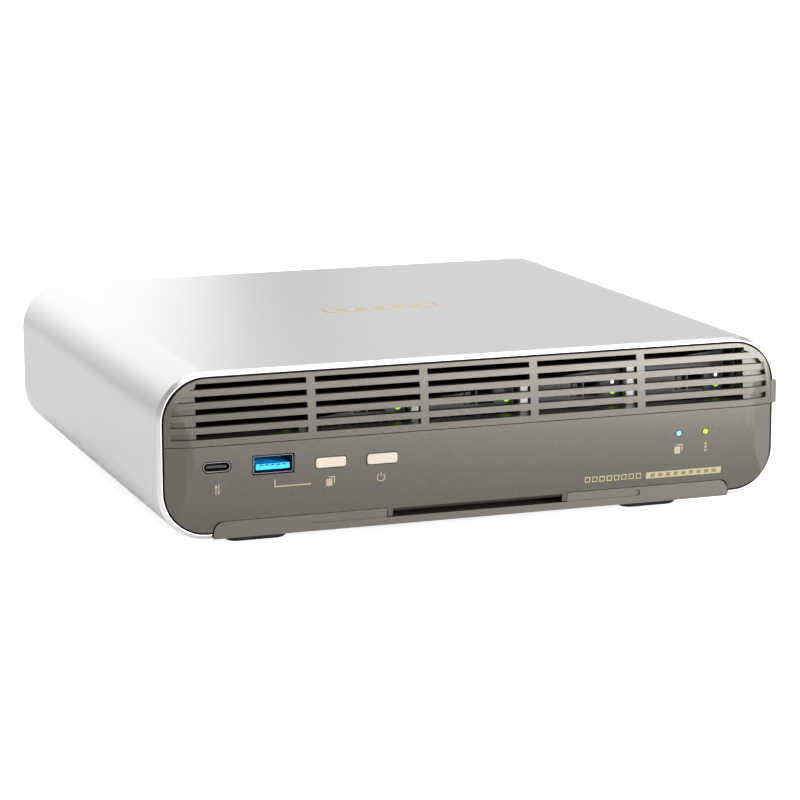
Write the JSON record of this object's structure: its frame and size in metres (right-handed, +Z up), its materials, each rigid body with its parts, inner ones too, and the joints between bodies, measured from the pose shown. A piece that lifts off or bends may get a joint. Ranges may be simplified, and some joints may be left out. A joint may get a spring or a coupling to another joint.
{
  "type": "network attached storage",
  "caption": "Low, wide network storage box: silver aluminium sleeve, taupe front with a slotted magnetic cover over the drive trays, buttons, ports and rubber feet.",
  "frame": {"origin": "centre of the footprint, on the plane that the feet stand on", "axes": "+X to the right seen from the front, -Y towards the front, +Z up"},
  "size_m": [0.215, 0.2016, 0.06],
  "materials": {
    "shell": "satin bead-blasted, silver",
    "panel": "satin taupe metallic paint",
    "base_plate": "satin taupe paint",
    "rubber": "matt black",
    "black_steel": "matt black",
    "circuit_board": "green solder mask",
    "socket_steel": "bright plated",
    "blue_plastic": "bright blue",
    "black_plastic": "black",
    "light_blue": "clear, lit blue",
    "light_green": "clear, lit green",
    "ribbon": "pale grey",
    "cage_steel": "zinc plated sheet",
    "component": "dark moulded packages",
    "copper": "bare copper",
    "heatsink": "bare extruded",
    "brass": "bare",
    "screw_steel": "nickel plated",
    "magnet": "nickel plated",
    "cell_steel": "polished",
    "button_paint": "champagne metallic",
    "tray_plastic": "charcoal, finely ribbed face",
    "drive_alu": "dark anodised heat spreader"
  },
  "bodies": {
    "case": {"outer_shell": "shell", "bottom_cover": "base_plate", "rubber_feet": "rubber", "front_fascia": "panel", "front_frame": "black_steel", "front_io_boards": "circuit_board", "usb_c_front": "socket_steel", "usb_a_front": "socket_steel", "usb_a_tongue": "blue_plastic", "socket_tongues": "black_plastic", "tact_switches": "component", "light_pipe_copy": "light_blue", "light_pipe_status": "light_green", "front_ribbon": "ribbon", "ssd_cage": "cage_steel", "cage_dividers": "cage_steel", "backplane_board": "circuit_board", "drive_connectors": "black_plastic", "mainboard": "circuit_board", "mainboard_parts": "component", "cold_plate": "copper", "cpu_heatsink": "heatsink", "blower_housings": "black_plastic", "blower_leads": "black_plastic", "rear_panel": "panel", "network_jacks": "socket_steel", "hdmi_socket": "socket_steel", "usb_a_rear": "socket_steel", "usb_c_rear": "socket_steel", "dc_socket": "black_plastic", "coin_cell": "cell_steel", "standoffs": "brass", "case_screws": "screw_steel"},
    "cover": {"bay_cover": "panel", "cover_magnets": "magnet"},
    "copy_button": {"button_copy": "button_paint"},
    "power_button": {"button_power": "button_paint"},
    "reset": {"reset_button": "screw_steel"},
    "fan_left": {"impeller_left": "black_plastic"},
    "fan_right": {"impeller_right": "black_plastic"},
    "tray_1_body": {"tray_1": "tray_plastic", "ssd_1": "drive_alu", "tray_lights_1": "light_green"},
    "latch_1_body": {"tray_latch_1": "tray_plastic"},
    "tray_2_body": {"tray_2": "tray_plastic", "ssd_2": "drive_alu", "tray_lights_2": "light_green"},
    "latch_2_body": {"tray_latch_2": "tray_plastic"},
    "tray_3_body": {"tray_3": "tray_plastic", "ssd_3": "drive_alu", "tray_lights_3": "light_green"},
    "latch_3_body": {"tray_latch_3": "tray_plastic"},
    "tray_4_body": {"tray_4": "tray_plastic", "ssd_4": "drive_alu", "tray_lights_4": "light_green"},
    "latch_4_body": {"tray_latch_4": "tray_plastic"},
    "tray_5_body": {"tray_5": "tray_plastic", "ssd_5": "drive_alu", "tray_lights_5": "light_green"},
    "latch_5_body": {"tray_latch_5": "tray_plastic"}
  },
  "joints": [
    {"name": "cover_pull", "type": "slide", "parent": "case", "child": "cover", "axis": [0, -1, 0], "range_m": [0, 0.15]},
    {"name": "tray_1_slide", "type": "slide", "parent": "case", "child": "tray_1_body", "axis": [0, -1, 0], "range_m": [0, 0.13]},
    {"name": "tray_2_slide", "type": "slide", "parent": "case", "child": "tray_2_body", "axis": [0, -1, 0], "range_m": [0, 0.13]},
    {"name": "tray_3_slide", "type": "slide", "parent": "case", "child": "tray_3_body", "axis": [0, -1, 0], "range_m": [0, 0.13]},
    {"name": "tray_4_slide", "type": "slide", "parent": "case", "child": "tray_4_body", "axis": [0, -1, 0], "range_m": [0, 0.13]},
    {"name": "tray_5_slide", "type": "slide", "parent": "case", "child": "tray_5_body", "axis": [0, -1, 0], "range_m": [0, 0.13]},
    {"name": "tray_1_latch", "type": "slide", "parent": "tray_1_body", "child": "latch_1_body", "axis": [1, 0, 0], "range_m": [0, 0.0016], "stiffness_N_per_m": 200},
    {"name": "tray_2_latch", "type": "slide", "parent": "tray_2_body", "child": "latch_2_body", "axis": [1, 0, 0], "range_m": [0, 0.0016], "stiffness_N_per_m": 200},
    {"name": "tray_3_latch", "type": "slide", "parent": "tray_3_body", "child": "latch_3_body", "axis": [1, 0, 0], "range_m": [0, 0.0016], "stiffness_N_per_m": 200},
    {"name": "tray_4_latch", "type": "slide", "parent": "tray_4_body", "child": "latch_4_body", "axis": [1, 0, 0], "range_m": [0, 0.0016], "stiffness_N_per_m": 200},
    {"name": "tray_5_latch", "type": "slide", "parent": "tray_5_body", "child": "latch_5_body", "axis": [1, 0, 0], "range_m": [0, 0.0016], "stiffness_N_per_m": 200},
    {"name": "copy_press", "type": "slide", "parent": "case", "child": "copy_button", "axis": [0, 1, 0], "range_m": [0, 0.0007], "stiffness_N_per_m": 800},
    {"name": "power_press", "type": "slide", "parent": "case", "child": "power_button", "axis": [0, 1, 0], "range_m": [0, 0.0007], "stiffness_N_per_m": 800},
    {"name": "reset_press", "type": "slide", "parent": "case", "child": "reset", "axis": [0, -1, 0], "range_m": [0, 0.0005], "stiffness_N_per_m": 400},
    {"name": "fan_left_spin", "type": "hinge", "parent": "case", "child": "fan_left", "pos_m": [-0.042, 0.067, 0.048], "axis": [0, 0, 1], "continuous": true},
    {"name": "fan_right_spin", "type": "hinge", "parent": "case", "child": "fan_right", "pos_m": [0.042, 0.067, 0.048], "axis": [0, 0, 1], "continuous": true}
  ],
  "couplings": [
    {"joint": "tray_1_slide", "follows": "cover_pull", "ratio": 0.86},
    {"joint": "tray_2_slide", "follows": "cover_pull", "ratio": 0.86},
    {"joint": "tray_3_slide", "follows": "cover_pull", "ratio": 0.86},
    {"joint": "tray_4_slide", "follows": "cover_pull", "ratio": 0.86},
    {"joint": "tray_5_slide", "follows": "cover_pull", "ratio": 0.86}
  ]
}
